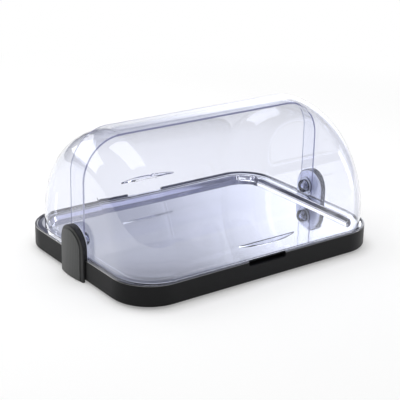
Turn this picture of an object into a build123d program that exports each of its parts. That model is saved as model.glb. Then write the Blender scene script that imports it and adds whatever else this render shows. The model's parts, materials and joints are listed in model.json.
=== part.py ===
from build123d import *
import math
import os

# Chilled roll-top display: a low housing holds two flat ice packs under a polished steel tray, and two
# clear quarter-round covers swing past each other about one pivot line that runs through both ends.
# Millimetres. X runs along the display, the front faces -Y, Z is up, and the origin is on the table
# under the housing's middle.

# Housing
base_length = 440.0
base_width = 320.0
base_corner = 60.0
wall_bottom = 3.0
wall_height = 32.0
housing_wall = 4.0
floor_thickness = 2.5
ledge_thickness = 2.5
basin_wall = 2.5
rim_round = 1.2
lower_edge_round = 3.0
rib_thickness = 2.0
rib_setback = 3.0
ribs_along_front = 4
ribs_along_end = 2

# Finger notches in the front and rear rims
notch_width = 66.0
notch_depth = 7.5
notch_corner = 4.0
notch_pocket = 8.0
pocket_skin = 2.0
notch_lip = 0.8

# Steel tray
tray_sheet = 0.8
tray_gap = 0.6
tray_below_rim = 0.6
flange_width = 16.5
flange_fall = 1.0
flange_roll = 6.0
well_depth = 8.4
well_draft = 10.0
well_bottom_round = 1.6
well_edge_round = 1.6
basin_gap = 2.5

# Ice packs, side by side under the tray
pack_gap = 1.0
pack_headroom = 0.9
pack_edge_round = 2.5
plug_radius = 9.0
plug_depth = 3.0
plug_rim_gap = 0.2
plug_inset = 20.0

# Feet
foot_radius = 10.0
foot_stem_radius = 3.0
foot_stem_play = 0.05
foot_inset_x = 55.0
foot_inset_y = 55.0

# Covers
pivot_above_rim = 17.0
cover_wall = 2.5
cover_rim_gap = 0.9
cover_end_gap = 2.0
cover_lift = 0.4
cover_radial_gap = 5.5
front_reach = 17.0
rear_reach = 12.0

# Grips on the covers
grip_length = 100.0
grip_thickness = 2.2
front_grip_height = 60.5
front_grip_depth = 9.0
front_grip_droop = 9.0
rear_grip_height = 61.5
rear_grip_depth = 5.6
rear_grip_rise = 30.0
rear_grip_clearance = 0.7

# Pivots
running_gap = 0.35
pin_radius = 3.0
pin_play = 0.05
bush_radius = 5.0
hinge_play = 0.08
spacer_thickness = 1.0
spacer_radius = 9.0
disc_thickness = 1.8
disc_radius = 14.0
knob_radius = 10.0
knob_height = 8.0
knob_round = 3.5
pin_in_knob = 5.4

# Hinge brackets outside the ends
ear_radius = 30.0
ear_arch_below_pivot = 5.0
ear_floor_gap = 0.5
ear_side = 3.5
ear_bulge = 6.8
ear_edge_round = 1.5
ear_wall_play = 0.15
ear_cover_gap = 2.5
ear_pocket_depth = 4.5
ear_pocket_wall = 3.0
ear_pin_boss = 9.0
ear_pin_depth = 7.0
toe_length = 14.0
toe_half_width = 20.0
toe_height = 2.1
cap_radius = 24.5
cap_thickness = 2.4
cap_proud = 1.2
cap_play = 0.15
cap_edge_round = 0.8
cap_bottom_gap = 0.5
liner_inset = 2.0
liner_seat_gap = 0.1

# Bracket screws, driven from inside the housing's skirt
screw_radius = 1.7
screw_play = 0.1
screw_head_radius = 3.5
screw_head_height = 2.2
screw_spread = 16.0
screw_height = 20.0
screw_grip = 3.2

# Heights that follow
rim_top = wall_bottom + wall_height
flange_top = rim_top - tray_below_rim
flange_edge = flange_top - flange_fall
ledge_top = flange_edge - tray_sheet
ledge_low = ledge_top - ledge_thickness
floor_top = wall_bottom + floor_thickness
well_bottom = flange_top - well_depth
pivot_height = rim_top + pivot_above_rim
cover_edge = flange_top + cover_lift
hub_trim = pivot_height - cover_edge
arch_height = pivot_height - ear_arch_below_pivot
notch_bottom = rim_top - notch_depth

# Plan sizes that follow
inner_length = base_length - 2 * housing_wall
inner_width = base_width - 2 * housing_wall
inner_corner = base_corner - housing_wall
tray_length = inner_length - 2 * tray_gap
tray_width = inner_width - 2 * tray_gap
tray_corner = inner_corner - tray_gap
well_length = tray_length - 2 * flange_width
well_width = tray_width - 2 * flange_width
well_corner = tray_corner - flange_width
basin_length = well_length + 2 * (tray_sheet + basin_gap)
basin_width = well_width + 2 * (tray_sheet + basin_gap)
basin_corner = well_corner + tray_sheet + basin_gap

# Cover sizes that follow, each a surface turned about the pivot line
front_radius = math.hypot(inner_width / 2 - cover_rim_gap, pivot_above_rim)
front_end = inner_length / 2 - cover_end_gap
rear_radius = front_radius - cover_wall - cover_radial_gap
rear_end = front_end - cover_wall - spacer_thickness - 2 * running_gap
cover_corner = base_corner

# Pivot stack on the right end, from the outside in
ear_inner = front_end + ear_cover_gap
liner_outer = ear_inner - liner_seat_gap
liner_inner = front_end + running_gap
spacer_outer = front_end - cover_wall - running_gap
disc_outer = rear_end - cover_wall - running_gap
knob_outer = disc_outer - disc_thickness
knob_inner = knob_outer - knob_height


def slab(length, width, corner, low, high):
    """Upright block of rounded plan between two heights."""
    plan = RectangleRounded(length, width, corner)
    return Pos(0, 0, low) * extrude(plan, amount=high - low)


def block(x0, x1, y0, y1, z0, z1):
    """Plain box between two corners."""
    middle = Pos((x0 + x1) / 2, (y0 + y1) / 2, (z0 + z1) / 2)
    return middle * Box(x1 - x0, y1 - y0, z1 - z0)


def rod(radius, x0, x1, y=0.0, z=pivot_height):
    """Round bar along X between two stations."""
    return Pos((x0 + x1) / 2, y, z) * Rot(0, 90, 0) * Cylinder(radius, x1 - x0)


def arch(radius, low, x0, x1):
    """Slab with a half-round top, as seen along X."""
    legs = block(x0, x1, -radius, radius, low, arch_height)
    crown = rod(radius, x0, x1, z=arch_height) & block(x0, x1, -radius, radius, low, 2 * arch_height)
    return legs + crown


def left_and_right(piece):
    """The piece made for the right end, and its mirror image for the left."""
    return {"right": piece, "left": mirror(piece, about=Plane.YZ)}


def notch_cut(side):
    """Cutter for a finger notch with a bevelled lip; side is -1 for the front and 1 for the rear."""
    outline = RectangleRounded(notch_width, 2 * notch_depth, notch_corner)
    depth = housing_wall + notch_pocket + 1
    tool = Pos(0, 0, -depth / 2) * extrude(outline, amount=depth / 2, both=True)
    grown = 2 * notch_lip
    lip = RectangleRounded(notch_width + grown, 2 * notch_depth + grown, notch_corner + notch_lip)
    tool = Pos(0, 0, 1) * tool + extrude(lip, amount=-notch_lip, taper=45)
    outwards = Rot(90, 0, 0) if side < 0 else Rot(-90, 0, 0)
    return Pos(0, side * base_width / 2, rim_top) * outwards * tool


def skirt_ribs():
    """Stiffening plates across the open channel behind the outer wall."""
    low = wall_bottom + rib_setback
    half = rib_thickness / 2
    ribs = []
    straight_x = base_length - 2 * base_corner
    straight_y = base_width - 2 * base_corner
    for k in range(ribs_along_front):
        x = straight_x * ((k + 0.5) / ribs_along_front - 0.5)
        ribs.append(block(x - half, x + half, -base_width, base_width, low, ledge_low))
    for k in range(ribs_along_end):
        y = straight_y * ((k + 0.5) / ribs_along_end - 0.5)
        ribs.append(block(-base_length, base_length, y - half, y + half, low, ledge_low))
    return ribs


def make_housing():
    body = slab(base_length, base_width, base_corner, wall_bottom, rim_top)
    body = fillet(body.edges().group_by(Axis.Z)[0], lower_edge_round)
    body -= slab(inner_length, inner_width, inner_corner, ledge_top, rim_top)
    body = fillet(body.edges().group_by(Axis.Z)[-1], rim_round)
    channel = slab(inner_length, inner_width, inner_corner, wall_bottom - 1, ledge_low)
    channel -= slab(
        basin_length + 2 * basin_wall,
        basin_width + 2 * basin_wall,
        basin_corner + basin_wall,
        wall_bottom - 1,
        ledge_low,
    )
    for rib in skirt_ribs():
        channel -= rib
    half = notch_width / 2 + pocket_skin
    inner_y = inner_width / 2
    for side in (-1, 1):
        reach = [side * (inner_y - notch_pocket - pocket_skin), side * (inner_y + 1)]
        channel -= block(-half, half, min(reach), max(reach), notch_bottom - pocket_skin, ledge_low)
    body -= channel
    body -= slab(basin_length, basin_width, basin_corner, floor_top, ledge_top + 1)
    for side in (-1, 1):
        body -= notch_cut(side)
    for x, y in foot_places():
        body -= Pos(x, y, wall_bottom) * Cylinder(foot_stem_radius + foot_stem_play, 4 * floor_thickness)
    for side in (-1, 1):
        for y in (-screw_spread, screw_spread):
            wall = sorted((side * (base_length / 2 + 1), side * (inner_length / 2 - 1)))
            body -= rod(screw_radius + screw_play, wall[0], wall[1], y, screw_height)
    return body


def foot_places():
    x = base_length / 2 - foot_inset_x
    y = base_width / 2 - foot_inset_y
    return [(-x, -y), (x, -y), (-x, y), (x, y)]


def make_foot(x, y):
    pad = Pos(x, y, wall_bottom / 2) * Cylinder(foot_radius, wall_bottom)
    pad = chamfer(pad.edges().group_by(Axis.Z)[0], foot_radius / 10)
    stem = Pos(x, y, wall_bottom + floor_thickness / 2) * Cylinder(foot_stem_radius, floor_thickness)
    return pad + stem


def tray_well(grow, low):
    """Block of the well's shape, grown sideways, from its top opening down to a height."""
    plan = RectangleRounded(well_length + 2 * grow, well_width + 2 * grow, well_corner + grow)
    well = extrude(plan, amount=-(flange_top - low), taper=well_draft)
    well = Pos(0, 0, flange_top) * well
    return fillet(well.edges().group_by(Axis.Z)[0], well_bottom_round + grow)


def under_tray(drop):
    """Everything below the tray's top surface, or below that surface moved into the sheet by a drop."""
    foot = slab(tray_length, tray_width, tray_corner, floor_top, flange_edge - drop)
    grow = drop * (1 - math.tan(math.radians(well_draft)))
    edge = RectangleRounded(tray_length, tray_width, tray_corner)
    roll = flange_roll + grow
    flat = RectangleRounded(tray_length - 2 * roll, tray_width - 2 * roll, tray_corner - roll)
    slope = loft([Pos(0, 0, flange_edge - drop) * edge, Pos(0, 0, flange_top - drop) * flat], ruled=True)
    below = foot + slope - tray_well(drop, well_bottom - drop)
    return fillet(below.edges().group_by(Axis.Z)[-1], well_edge_round - drop)


def make_tray():
    return under_tray(0) - under_tray(tray_sheet)


def pack_centre():
    """Middle of the right ice pack along X, and its length and width."""
    length = basin_length / 2 - 1.5 * pack_gap
    width = basin_width - 2 * pack_gap
    return basin_length / 4 - pack_gap / 4, length, width


def make_pack():
    x, length, width = pack_centre()
    top = well_bottom - tray_sheet - pack_headroom
    corner = basin_corner - pack_gap
    pack = Pos(x, 0, 0) * slab(length, width, corner, floor_top, top)
    ends = pack.edges().group_by(Axis.Z)
    pack = fillet(ends[0] + ends[-1], pack_edge_round)
    plug_x = x - length / 2 + corner + plug_inset
    plug_y = -width / 2 + plug_inset
    seat = Pos(plug_x, plug_y, top) * Cylinder(plug_radius + plug_rim_gap, 2 * plug_depth)
    plug = Pos(plug_x, plug_y, top - plug_depth / 2) * Cylinder(plug_radius, plug_depth)
    slot = Pos(plug_x, plug_y, top) * Box(1.4 * plug_radius, plug_depth / 2, plug_depth / 2)
    return pack - seat, plug - slot


def turned_shell(radius, end, corner):
    """Solid of the shape that a closed cover would have if it went all the way round."""
    outline = Polyline((-end, 0), (-end, radius - corner))
    outline += RadiusArc((-end, radius - corner), (corner - end, radius), corner)
    outline += Line((corner - end, radius), (end - corner, radius))
    outline += RadiusArc((end - corner, radius), (end, radius - corner), corner)
    outline += Polyline((end, radius - corner), (end, 0), (-end, 0))
    return revolve(make_face(outline), Axis.X)


def cover_window(side, reach, end):
    """The part of the turned shell that one cover keeps, centred on the pivot line."""
    far = front_radius + 10
    window = Pos(-far / 2, (far - hub_trim) / 2) * Rectangle(far, far + hub_trim)
    window += Pos(reach / 2, far / 2) * Rectangle(reach, far)
    window += Circle(hub_trim) & (Pos((reach - far) / 2, 0) * Rectangle(reach + far, 2 * far))
    prism = extrude(Plane.YZ * window, amount=end + 1, both=True)
    return prism if side < 0 else mirror(prism, about=Plane.XZ)


def crescent(depth, overlap):
    """Finger ledge with a straight root along X and a curved outer edge towards -Y."""
    tip = grip_length / 2
    outline = ThreePointArc((-tip, 0), (0, -depth), (tip, 0))
    outline += Polyline((tip, 0), (tip, overlap), (-tip, overlap), (-tip, 0))
    return extrude(make_face(outline), amount=-grip_thickness)


def make_cover(side, radius, end, reach, grip, grip_limit):
    """One cover, made about the pivot line and then lifted to it."""
    inside = turned_shell(radius - cover_wall, end - cover_wall, cover_corner - cover_wall)
    shell = turned_shell(radius, end, cover_corner) - inside
    shell &= cover_window(side, reach, end)
    shell += (grip - inside) & rod(grip_limit, -end, end, 0, 0)
    shell -= rod(bush_radius + hinge_play, -end - 1, end + 1, 0, 0)
    return Pos(0, 0, pivot_height) * shell


def grip_root(radius, height):
    """Distance in front of the pivot line where a ledge at this height meets the cover."""
    return math.sqrt(radius**2 - (height - pivot_height) ** 2)


def make_front_cover():
    y = -grip_root(front_radius, front_grip_height)
    ledge = Rot(front_grip_droop, 0, 0) * crescent(front_grip_depth, 1.2 * cover_wall)
    ledge = Pos(0, y, front_grip_height - pivot_height) * ledge
    limit = front_radius + 2 * front_grip_depth
    return make_cover(-1, front_radius, front_end, front_reach, ledge, limit)


def make_rear_cover():
    y = grip_root(rear_radius, rear_grip_height)
    ledge = Rot(-rear_grip_rise, 0, 0) * crescent(rear_grip_depth, 1.2 * cover_wall)
    ledge = Rot(0, 0, 180) * ledge
    ledge = Pos(0, y, rear_grip_height - pivot_height) * ledge
    limit = front_radius - cover_wall - rear_grip_clearance
    return make_cover(1, rear_radius, rear_end, rear_reach, ledge, limit)


def ear_curve():
    """Centre X and radius of the arc that the bracket's bulging face follows in plan."""
    rise = ear_bulge - ear_side
    radius = (ear_radius**2 + rise**2) / (2 * rise)
    return base_length / 2 + ear_bulge - radius, radius


def bulge(offset, low, high):
    """Round column whose outer side is the bracket's face moved out by an offset."""
    centre, radius = ear_curve()
    return Pos(centre, 0, (low + high) / 2) * Cylinder(radius + offset, high - low)


def make_ear():
    low = ear_floor_gap
    high = arch_height + ear_radius + 1
    outer = base_length / 2 + ear_bulge + cap_proud + 1
    ear = arch(ear_radius, low, ear_inner, outer) & bulge(0, low, high)
    rims = [e for e in ear.edges() if e.center().X > base_length / 2 + ear_side - 1]
    rims = [e for e in rims if e.center().Z > low + 1]
    ear = fillet(rims, ear_edge_round)
    wall_face = base_length / 2 + ear_wall_play
    ear -= block(ear_inner - 1, wall_face, -base_width, base_width, low - 1, rim_top + ear_wall_play)
    toe_x = base_length / 2 - toe_length
    ear += block(toe_x, wall_face + ear_side / 2, -toe_half_width, toe_half_width, low, low + toe_height)
    pocket = arch(
        ear_radius - ear_pocket_wall,
        rim_top + ear_pocket_wall,
        ear_inner - 1,
        ear_inner + ear_pocket_depth,
    )
    pocket -= rod(ear_pin_boss, ear_inner - 2, ear_inner + ear_pocket_depth + 1)
    ear -= pocket
    ear -= rod(pin_radius + pin_play, ear_inner - 1, ear_inner + ear_pin_depth)
    seat = arch(cap_radius + cap_play, low - 1, base_length / 2, outer)
    ear -= seat - bulge(cap_proud - cap_thickness, low - 2, high)
    for y in (-screw_spread, screw_spread):
        ear -= rod(screw_radius, wall_face - 1, base_length / 2 + screw_grip, y, screw_height)
    return ear


def make_cap():
    low = ear_floor_gap + cap_bottom_gap
    high = arch_height + cap_radius + 1
    outer = base_length / 2 + ear_bulge + cap_proud + 1
    cap = arch(cap_radius, low, base_length / 2, outer) & bulge(cap_proud, low, high)
    cap -= bulge(cap_proud - cap_thickness + cap_play / 3, low - 1, high + 1)
    face = cap.faces().filter_by(GeomType.CYLINDER).sort_by(Axis.X)[-1]
    return fillet(face.edges(), cap_edge_round)


def make_liner():
    liner = arch(ear_radius - liner_inset, rim_top + ear_wall_play, liner_inner, liner_outer)
    return liner - rod(bush_radius + pin_play, liner_inner - 1, liner_outer + 1)


def make_knob():
    knob = rod(knob_radius, knob_inner, knob_outer)
    knob = fillet(knob.edges().sort_by(Axis.X)[0], knob_round)
    return knob - rod(pin_radius + pin_play, knob_outer - pin_in_knob, knob_outer + 1)


def ring(outer, inner, x0, x1):
    """Flat or long sleeve about the pivot line."""
    return rod(outer, x0, x1) - rod(inner, x0 - 1, x1 + 1)


def make_screws():
    """The two bracket screws of one end, with their heads inside the skirt."""
    head_face = inner_length / 2
    screws = []
    for y in (-screw_spread, screw_spread):
        head = rod(screw_head_radius, head_face - screw_head_height, head_face, y, screw_height)
        head = fillet(head.edges().sort_by(Axis.X)[0], screw_head_height / 3)
        tip = base_length / 2 + screw_grip - screw_play
        shank = rod(screw_radius, head_face, tip, y, screw_height)
        slot_depth = screw_head_height / 2
        slot = block(
            head_face - screw_head_height,
            head_face - slot_depth,
            y - screw_radius / 3,
            y + screw_radius / 3,
            screw_height - screw_radius,
            screw_height + screw_radius,
        )
        screws.append(head + shank - slot)
    return screws[0] + screws[1]


def pivot_pieces():
    """What hangs on one end's pivot line, made for the right end."""
    pin = rod(pin_radius, knob_outer - pin_in_knob + pin_play, ear_inner + ear_pin_depth - pin_play)
    return {
        "hinge_bracket": make_ear(),
        "bracket_cap": make_cap(),
        "bracket_liner": make_liner(),
        "pivot_pin": pin,
        "pivot_bush": ring(bush_radius, pin_radius + pin_play, knob_outer, ear_inner),
        "cover_spacer": ring(
            spacer_radius,
            bush_radius + pin_play,
            spacer_outer - spacer_thickness,
            spacer_outer,
        ),
        "knob_disc": ring(disc_radius, bush_radius + pin_play, knob_outer, disc_outer),
        "pivot_knob": make_knob(),
        "bracket_screws": make_screws(),
    }


def all_pieces():
    pieces = {
        "base_housing": make_housing(),
        "steel_tray": make_tray(),
        "front_cover": make_front_cover(),
        "rear_cover": make_rear_cover(),
    }
    for name, place in zip(("front_left", "front_right", "rear_left", "rear_right"), foot_places()):
        pieces[f"foot_{name}"] = make_foot(*place)
    pack, plug = make_pack()
    for name, piece in (("ice_pack", pack), ("pack_plug", plug)):
        for side, copy in left_and_right(piece).items():
            pieces[f"{name}_{side}"] = copy
    for name, piece in pivot_pieces().items():
        for side, copy in left_and_right(piece).items():
            pieces[f"{name}_{side}"] = copy
    return pieces


os.makedirs("parts", exist_ok=True)
for node, shape in all_pieces().items():
    export_step(shape, f"parts/{node}.step")
    box = shape.bounding_box()
    size = " x ".join(f"{v:.1f}" for v in box.size)
    print(f"{node:24} {len(shape.solids())} solid(s)  {size}  {shape.volume / 1000:.2f} cm3")
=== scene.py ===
import json
import math

import bpy
from mathutils import Matrix, Vector

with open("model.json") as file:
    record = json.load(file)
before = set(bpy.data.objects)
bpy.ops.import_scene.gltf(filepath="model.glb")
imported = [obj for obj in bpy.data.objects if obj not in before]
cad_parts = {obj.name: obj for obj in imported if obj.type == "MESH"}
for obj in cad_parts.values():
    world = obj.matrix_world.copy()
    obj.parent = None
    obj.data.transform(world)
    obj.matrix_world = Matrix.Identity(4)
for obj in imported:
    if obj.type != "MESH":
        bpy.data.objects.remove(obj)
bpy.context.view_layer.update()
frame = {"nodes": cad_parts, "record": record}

# Camera, found by fitting the housing's rim, the tray and the cover edges to the photograph
CAMERA_AZIMUTH = math.radians(-36.387)
CAMERA_ELEVATION = math.radians(20.643)
CAMERA_ROLL = math.radians(1.314)
CAMERA_DISTANCE = 1.4516
CAMERA_AIM = Vector((-0.1317, -0.1747, 0.1512))
FOCAL_PIXELS = 1124.4
FRAME_PIXELS = 400
SENSOR = 0.036

# Colour that one wall of a cover gives to what is behind it
COVER_TINT = (0.945, 0.955, 1.0)

# Table top and the even light. The fade is in square metres from the middle: past it the top is plain
# white to the eye and the glass.
FLOOR_HALF = 9.0
FLOOR_WHITE = 0.95
FLOOR_GLOW = 0.3
FLOOR_FADE = (0.1, 1.6)
AMBIENT = 0.58

# Bright card that gloss and glass show. ACROSS is the cosine of the angle from its azimuth, and UP is the
# sine of the height over the horizon.
CARD_AZIMUTH = 38.0
CARD_COLOUR = (0.94, 0.96, 1.0)
CARD_LEVEL = 0.70
CARD_ACROSS = 22.0
CARD_ACROSS_AT = 0.963
CARD_UP = 4.0
CARD_UP_AT = 0.378
CARD_UP_FROM = 0.33
CARD_LOW = 1.6
CARD_TOP = (0.40, 0.44)
CARD_LEAST = 0.45
CARD_LEAST_ACROSS = (0.84, 0.92)
CARD_MOST = 2.0

# Dim room round the card: darkest towards one side, with a glow low down opposite, and a dark flag over
# the card
ROOM_COLOUR = (0.72, 0.74, 1.0)
ROOM_LEVEL = 0.27
ROOM_SWING = 0.22
DARK_AZIMUTH = 130.0
FRONT_GLOW = 0.45
FRONT_GLOW_ACROSS = (0.5, 1.0)
FRONT_GLOW_UP = (0.08, 0.25)
FLAG_TOP = (0.72, 0.80)
FLAG_ACROSS = (0.86, 0.93)
FLAG_DEPTH = 0.9


def direction(azimuth, elevation):
    """Unit vector towards a compass point, counted in degrees from +X towards +Y, and a height."""
    a = math.radians(azimuth)
    e = math.radians(elevation)
    return Vector((math.cos(a) * math.cos(e), math.sin(a) * math.cos(e), math.sin(e)))


class Wire:
    """One output of a node, so that shader maths reads as plain Python."""

    def __init__(self, finish, socket):
        self.finish = finish
        self.socket = socket

    def maths(self, operation, *values, clamp=False):
        settings = {"operation": operation, "use_clamp": clamp}
        return self.finish.add("ShaderNodeMath", settings, dict(enumerate(values)))

    def __add__(self, other):
        return self.maths("ADD", self, other)

    __radd__ = __add__

    def __sub__(self, other):
        return self.maths("SUBTRACT", self, other)

    def __rsub__(self, other):
        return self.maths("SUBTRACT", other, self)

    def __mul__(self, other):
        return self.maths("MULTIPLY", self, other)

    __rmul__ = __mul__

    def __truediv__(self, other):
        return self.maths("DIVIDE", self, other)

    def __gt__(self, other):
        return self.maths("GREATER_THAN", self, other)

    def __lt__(self, other):
        return self.maths("LESS_THAN", self, other)

    def clamped(self):
        return self.maths("ADD", self, 0.0, clamp=True)

    def over(self, low, high):
        """0 below low, 1 above high, smooth between."""
        settings = {"interpolation_type": "SMOOTHSTEP"}
        values = {"Value": self, "From Min": low, "From Max": high}
        return self.finish.add("ShaderNodeMapRange", settings, values)


class Finish:
    """A node tree being made, for a material or the world."""

    def __init__(self, name, tree=None):
        if tree is None:
            self.material = bpy.data.materials.new(name)
            self.material.use_nodes = True
            tree = self.material.node_tree
        self.tree = tree
        tree.nodes.clear()

    def add(self, kind, settings=None, values=None, out=0):
        """Adds a node, sets it up, fills its sockets and gives one of its outputs."""
        node = self.tree.nodes.new(kind)
        for name, value in (settings or {}).items():
            setattr(node, name, value)
        for name, value in (values or {}).items():
            socket = node.inputs[name]
            if isinstance(value, Wire):
                self.tree.links.new(value.socket, socket)
            else:
                socket.default_value = value
        return Wire(self, node.outputs[out]) if len(node.outputs) else None

    def place(self, axis=None):
        """Where a point is on the part at rest, in metres, or one coordinate of it."""
        spot = self.add("ShaderNodeTexCoord", out="Object")
        if axis is None:
            return spot
        return self.add("ShaderNodeSeparateXYZ", values={0: spot}, out=axis)

    def blend(self, share, first, second):
        """A colour between two."""
        settings = {"data_type": "RGBA"}
        values = {"Factor": share, 6: first, 7: second}
        return self.add("ShaderNodeMix", settings, values, out=2)

    def grain(self, size, detail=2.0, stretch=(1.0, 1.0, 1.0)):
        """Even random mottle from 0 to 1, with spots of a size in metres."""
        spot = self.place()
        if stretch != (1.0, 1.0, 1.0):
            settings = {"operation": "MULTIPLY"}
            spot = self.add("ShaderNodeVectorMath", settings, {0: spot, 1: stretch})
        return self.add("ShaderNodeTexNoise", {}, {"Vector": spot, "Scale": 1 / size, "Detail": detail})

    def bump(self, height, depth, strength=1.0):
        values = {"Height": height, "Distance": depth, "Strength": strength}
        return self.add("ShaderNodeBump", {}, values)

    def principled(self, **values):
        names = {name.replace("_", " "): value for name, value in values.items()}
        return self.add("ShaderNodeBsdfPrincipled", {}, names)

    def done(self, surface):
        self.add("ShaderNodeOutputMaterial", {}, {"Surface": surface})
        return self.material


def colour(red, green, blue):
    return (red, green, blue, 1.0)


def moulded_black(name, base, roughness, shine, grain_size=0.0009):
    """Black moulded plastic with a fine spark-eroded grain and slight unevenness."""
    finish = Finish(name)
    mottle = finish.grain(0.035, 3.0)
    shade = finish.blend(mottle, colour(*(0.86 * c for c in base)), colour(*(1.14 * c for c in base)))
    fine = finish.grain(grain_size)
    surface = finish.principled(
        Base_Color=shade,
        Roughness=roughness + 0.10 * (mottle - 0.5),
        Specular_IOR_Level=shine,
        Normal=finish.bump(fine, 0.00003, 0.5),
    )
    return finish.done(surface)


def housing_black():
    """Black moulded plastic: satin sides with a fine grain, and a smoother, glossier top of the rim."""
    finish = Finish("black_housing")
    mottle = finish.grain(0.035, 3.0)
    shade = finish.blend(mottle, colour(0.0040, 0.0042, 0.0048), colour(0.0060, 0.0063, 0.0072))
    fine = finish.grain(0.0009)
    surface = finish.principled(
        Base_Color=shade,
        Roughness=0.42 + 0.10 * (mottle - 0.5),
        Specular_IOR_Level=0.17,
        Coat_Weight=finish.place("Z").over(0.0332, 0.0342),
        Coat_Roughness=0.07,
        Coat_IOR=3.0,
        Normal=finish.bump(fine, 0.00003, 0.5),
    )
    return finish.done(surface)


# Half the length and half the width of the tray, less a hair, past which its sheet shows its cut edge,
# drawn rougher and painted near black as painted shade
TRAY_EDGE_PAINTED_SHADE = (0.2153, 0.1553)


def polished_steel():
    """Stainless sheet, polished bright, with a faint drawn grain along X and a rougher cut edge painted
    near black as painted shade.
    """
    finish = Finish("polished_steel")
    streaks = finish.grain(0.0012, 2.0, (0.02, 1.0, 1.0))
    cloud = finish.grain(0.06, 2.0)
    bright = finish.blend(cloud, colour(0.80, 0.81, 0.83), colour(0.88, 0.885, 0.90))
    x = finish.place("X")
    y = finish.place("Y")
    edge = (x.maths("ABSOLUTE", x) > TRAY_EDGE_PAINTED_SHADE[0]) + (y.maths("ABSOLUTE", y) > TRAY_EDGE_PAINTED_SHADE[1])
    edge = edge.clamped()
    # The near-black colour on the cut edge is painted shade; the added roughness there is a real, duller
    # finish.
    shade = finish.blend(edge, bright, colour(0.06, 0.06, 0.065))
    surface = finish.principled(
        Base_Color=shade,
        Metallic=1.0,
        Roughness=0.045 + 0.05 * streaks + 0.5 * edge,
        Normal=finish.bump(streaks, 0.000004, 0.4),
    )
    return finish.done(surface)


def clear_plastic(name, tint, roughness=0.0, ior=1.48, cut=None):
    """Clear plastic. Lamps and soft light pass it unbent, so that it throws hardly any shadow. Where cut
    says so, the face is a sawn edge: frosted, and drawn opaque violet-grey as painted shade for its dark
    look."""
    finish = Finish(name)
    solid = finish.principled(
        Base_Color=colour(*tint),
        Roughness=roughness,
        IOR=ior,
        Transmission_Weight=1.0,
    )
    path = finish.add("ShaderNodeLightPath", out="Is Shadow Ray")
    soft = finish.add("ShaderNodeLightPath", out="Is Diffuse Ray")
    open_air = finish.add("ShaderNodeBsdfTransparent", {}, {"Color": colour(*(c ** 0.5 for c in tint))})
    share = (path + soft).clamped()
    body = finish.add("ShaderNodeMixShader", {}, {0: share, 1: solid, 2: open_air})
    if cut:
        # Sawn face: its roughness is a real frosted finish, and its opaque violet-grey colour is painted
        # shade for the dark cut line.
        sawn = finish.principled(Base_Color=colour(0.40, 0.41, 0.60), Roughness=0.45)
        body = finish.add("ShaderNodeMixShader", {}, {0: cut(finish), 1: body, 2: sawn})
    return finish.done(body)


def smoky_liner():
    """Translucent grey-violet plastic, nearly solid."""
    finish = Finish("liner_clear")
    mottle = finish.grain(0.02, 2.0)
    shade = finish.blend(mottle, colour(0.76, 0.79, 0.93), colour(0.82, 0.85, 0.98))
    return finish.done(finish.principled(Base_Color=shade, Roughness=0.12))


def plain_gloss(name, base, roughness, **more):
    finish = Finish(name)
    mottle = finish.grain(0.015, 3.0)
    shade = finish.blend(mottle, colour(*(0.93 * c for c in base)), colour(*(1.05 * c for c in base)))
    surface = finish.principled(Base_Color=shade, Roughness=roughness + 0.06 * (mottle - 0.5), **more)
    return finish.done(surface)


# Spacing of the ribs on the end caps
RIB_PITCH = 0.0042

# Where the covers end past the pivot line, and the hair that takes in the whole of the cut face
FRONT_CUT = 0.017
REAR_CUT = -0.012
CUT_HAIR = 0.0002


def past_front(finish):
    """The sawn face at the front cover's end."""
    return finish.place("Y") > FRONT_CUT - CUT_HAIR


def past_rear(finish):
    """The sawn face at the rear cover's end."""
    return finish.place("Y") < REAR_CUT + CUT_HAIR


def ribbed_cap():
    """Charcoal cap with soft upright ribs."""
    finish = Finish("cap_charcoal")
    mottle = finish.grain(0.035, 3.0)
    shade = finish.blend(mottle, colour(0.036, 0.038, 0.037), colour(0.046, 0.048, 0.047))
    y = finish.place("Y")
    ribs = y.maths("SINE", y * (2 * math.pi / RIB_PITCH))
    fine = finish.grain(0.0009)
    surface = finish.principled(
        Base_Color=shade,
        Roughness=0.40,
        Specular_IOR_Level=0.45,
        Normal=finish.bump(ribs + 0.2 * fine, 0.00012, 0.3),
    )
    return finish.done(surface)


def dress():
    """Gives every CAD piece its finish."""
    finishes = {
        "black_housing": housing_black(),
        "polished_steel": polished_steel(),
        "clear_cover": clear_plastic("clear_cover", COVER_TINT),
        "foot_rubber": moulded_black("foot_rubber", (0.02, 0.02, 0.02), 0.8, 0.3, 0.0015),
        "ice_pack_blue": plain_gloss("ice_pack_blue", (0.08, 0.25, 0.62), 0.35),
        "plug_white": plain_gloss("plug_white", (0.80, 0.82, 0.84), 0.4),
        "bracket_black": moulded_black("bracket_black", (0.018, 0.0185, 0.019), 0.40, 0.4),
        "cap_charcoal": ribbed_cap(),
        "liner_clear": smoky_liner(),
        "pin_steel": plain_gloss("pin_steel", (0.6, 0.6, 0.62), 0.25, Metallic=1.0),
        "bush_white": plain_gloss("bush_white", (0.80, 0.80, 0.78), 0.4),
        "disc_clear": clear_plastic("disc_clear", (0.93, 0.94, 0.97)),
        "knob_smoke": clear_plastic("knob_smoke", (0.72, 0.75, 0.92), 0.03),
        "screw_steel": plain_gloss("screw_steel", (0.55, 0.55, 0.58), 0.3, Metallic=1.0),
    }
    slots = {row["node"]: row["material_slot"] for row in frame["record"]["subparts"]}
    for name, node in frame["nodes"].items():
        node.data.materials[0] = finishes[slots[name]]
    front = clear_plastic("front_cover", COVER_TINT, cut=past_front)
    rear = clear_plastic("rear_cover", COVER_TINT, cut=past_rear)
    frame["nodes"]["front_cover"].data.materials[0] = front
    frame["nodes"]["rear_cover"].data.materials[0] = rear


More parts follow.
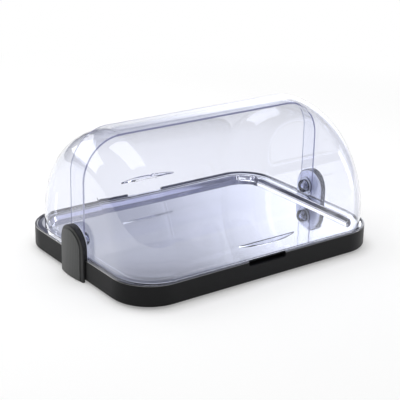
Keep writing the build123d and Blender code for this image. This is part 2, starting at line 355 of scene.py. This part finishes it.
def make_camera():
    """The photograph's camera."""
    a = CAMERA_AZIMUTH
    e = CAMERA_ELEVATION
    back = Vector((math.sin(a) * math.cos(e), -math.cos(a) * math.cos(e), math.sin(e)))
    level_right = Vector((math.cos(a), math.sin(a), 0.0))
    level_up = back.cross(level_right)
    right = level_right * math.cos(CAMERA_ROLL) + level_up * math.sin(CAMERA_ROLL)
    up = back.cross(right)
    lens = bpy.data.cameras.new("camera")
    lens.sensor_width = SENSOR * 1000
    lens.lens = lens.sensor_width * FOCAL_PIXELS / FRAME_PIXELS
    camera = bpy.data.objects.new("camera", lens)
    camera.matrix_world = Matrix((right, up, back)).transposed().to_4x4()
    camera.location = CAMERA_AIM + CAMERA_DISTANCE * back
    bpy.context.scene.collection.objects.link(camera)
    bpy.context.scene.camera = camera


def make_floor():
    """Wide white table top. Part of what the eye and the glass see of it near the display is plain white,
    and all of it far away. The rest is lit, and holds the shadow."""
    mesh = bpy.data.meshes.new("floor")
    corners = [(x, y, 0.0) for x, y in ((-1, -1), (1, -1), (1, 1), (-1, 1))]
    mesh.from_pydata([tuple(FLOOR_HALF * c for c in corner) for corner in corners], [], [(0, 1, 2, 3)])
    floor = bpy.data.objects.new("floor", mesh)
    bpy.context.scene.collection.objects.link(floor)
    finish = Finish("floor")
    matt = finish.add("ShaderNodeBsdfDiffuse", {}, {"Color": colour(*[FLOOR_WHITE] * 3)})
    white = finish.add("ShaderNodeEmission", {}, {"Color": colour(1, 1, 1), "Strength": 1.0})
    seen = finish.add("ShaderNodeLightPath", out="Is Camera Ray")
    through = finish.add("ShaderNodeLightPath", out="Is Transmission Ray")
    mirrored = finish.add("ShaderNodeLightPath", out="Is Glossy Ray")
    x = finish.place("X")
    y = finish.place("Y")
    far = (x * x + y * y).over(*FLOOR_FADE)
    share = (FLOOR_GLOW + (1 - FLOOR_GLOW) * far) * (seen + through + mirrored).clamped()
    mesh.materials.append(finish.done(finish.add("ShaderNodeMixShader", {}, {0: share, 1: matt, 2: white})))


def make_world():
    """White to the eye. What gloss and glass show is a bright card low at the back right, which fades
    sideways and upwards into a dim violet room. An even light falls on everything else."""
    world = bpy.data.worlds.new("studio")
    bpy.context.scene.world = world
    world.use_nodes = True
    air = Finish("studio", world.node_tree)
    aim = air.add("ShaderNodeTexCoord", out="Generated")
    x = air.add("ShaderNodeSeparateXYZ", values={0: aim}, out="X")
    y = air.add("ShaderNodeSeparateXYZ", values={0: aim}, out="Y")
    up = air.add("ShaderNodeSeparateXYZ", values={0: aim}, out="Z")
    level = air.add("ShaderNodeMath", {"operation": "SQRT"}, {0: x * x + y * y + 0.0001})
    card_side = direction(CARD_AZIMUTH, 0)
    across = (x * card_side.x + y * card_side.y) / level
    height = up.maths("MAXIMUM", up, CARD_UP_FROM)
    card = CARD_LEVEL + CARD_ACROSS * (across - CARD_ACROSS_AT)
    card = card - CARD_UP * (height - CARD_UP_AT) - CARD_LOW * (up - CARD_UP_FROM)
    least = CARD_LEAST * across.over(*CARD_LEAST_ACROSS)
    card = card.maths("MINIMUM", card.maths("MAXIMUM", card, least), CARD_MOST)
    card = card * (1 - up.over(*CARD_TOP))
    dark_side = direction(DARK_AZIMUTH, 0)
    away = x * dark_side.x + y * dark_side.y
    near = (0 - away).over(*FRONT_GLOW_ACROSS) * (1 - up.over(*FRONT_GLOW_UP))
    room = ROOM_LEVEL - ROOM_SWING * away + FRONT_GLOW * near
    flag = up.over(*CARD_TOP) * (1 - up.over(*FLAG_TOP)) * across.over(*FLAG_ACROSS)
    room = room * (1 - FLAG_DEPTH * flag)
    seen = air.add("ShaderNodeLightPath", out="Is Camera Ray")
    through = air.add("ShaderNodeLightPath", out="Is Transmission Ray")
    mirrored = air.add("ShaderNodeLightPath", out="Is Glossy Ray")
    lit = air.add("ShaderNodeBackground", {}, {"Color": colour(1, 1, 1), "Strength": AMBIENT})
    dim = air.add("ShaderNodeBackground", {}, {"Color": colour(*ROOM_COLOUR), "Strength": room})
    bright = air.add("ShaderNodeBackground", {}, {"Color": colour(*CARD_COLOUR), "Strength": card})
    gloss = air.add("ShaderNodeAddShader", {}, {0: dim, 1: bright})
    plain = air.add("ShaderNodeBackground", {}, {"Color": colour(1, 1, 1), "Strength": 1.0})
    mixed = air.add("ShaderNodeMixShader", {}, {0: (through + mirrored).clamped(), 1: lit, 2: gloss})
    mixed = air.add("ShaderNodeMixShader", {}, {0: seen, 1: mixed, 2: plain})
    air.add("ShaderNodeOutputWorld", {}, {"Surface": mixed})


def softbox(name, azimuth, elevation, distance, width, height, power, mirrored=True):
    """Rectangular soft lamp facing the display's middle, which gloss shows or doesn't."""
    lamp = bpy.data.lights.new(name, "AREA")
    lamp.shape = "RECTANGLE"
    lamp.size = width
    lamp.size_y = height
    lamp.energy = power
    box = bpy.data.objects.new(name, lamp)
    aim = Vector((0.0, 0.0, 0.08))
    box.location = aim + distance * direction(azimuth, elevation)
    box.rotation_mode = "QUATERNION"
    box.rotation_quaternion = (aim - box.location).to_track_quat("-Z", "Y")
    box.visible_glossy = mirrored
    bpy.context.scene.collection.objects.link(box)


def make_lamps():
    softbox("lamp_back_left", 123, 25, 1.6, 1.40, 0.80, 7)
    softbox("lamp_right_strip", -25, 16, 1.7, 0.22, 0.9, 3)
    softbox("lamp_above", 90, 80, 1.8, 1.2, 1.2, 16, mirrored=False)


dress()
make_camera()
make_floor()
make_world()
make_lamps()
bpy.context.scene.view_settings.view_transform = "Standard"
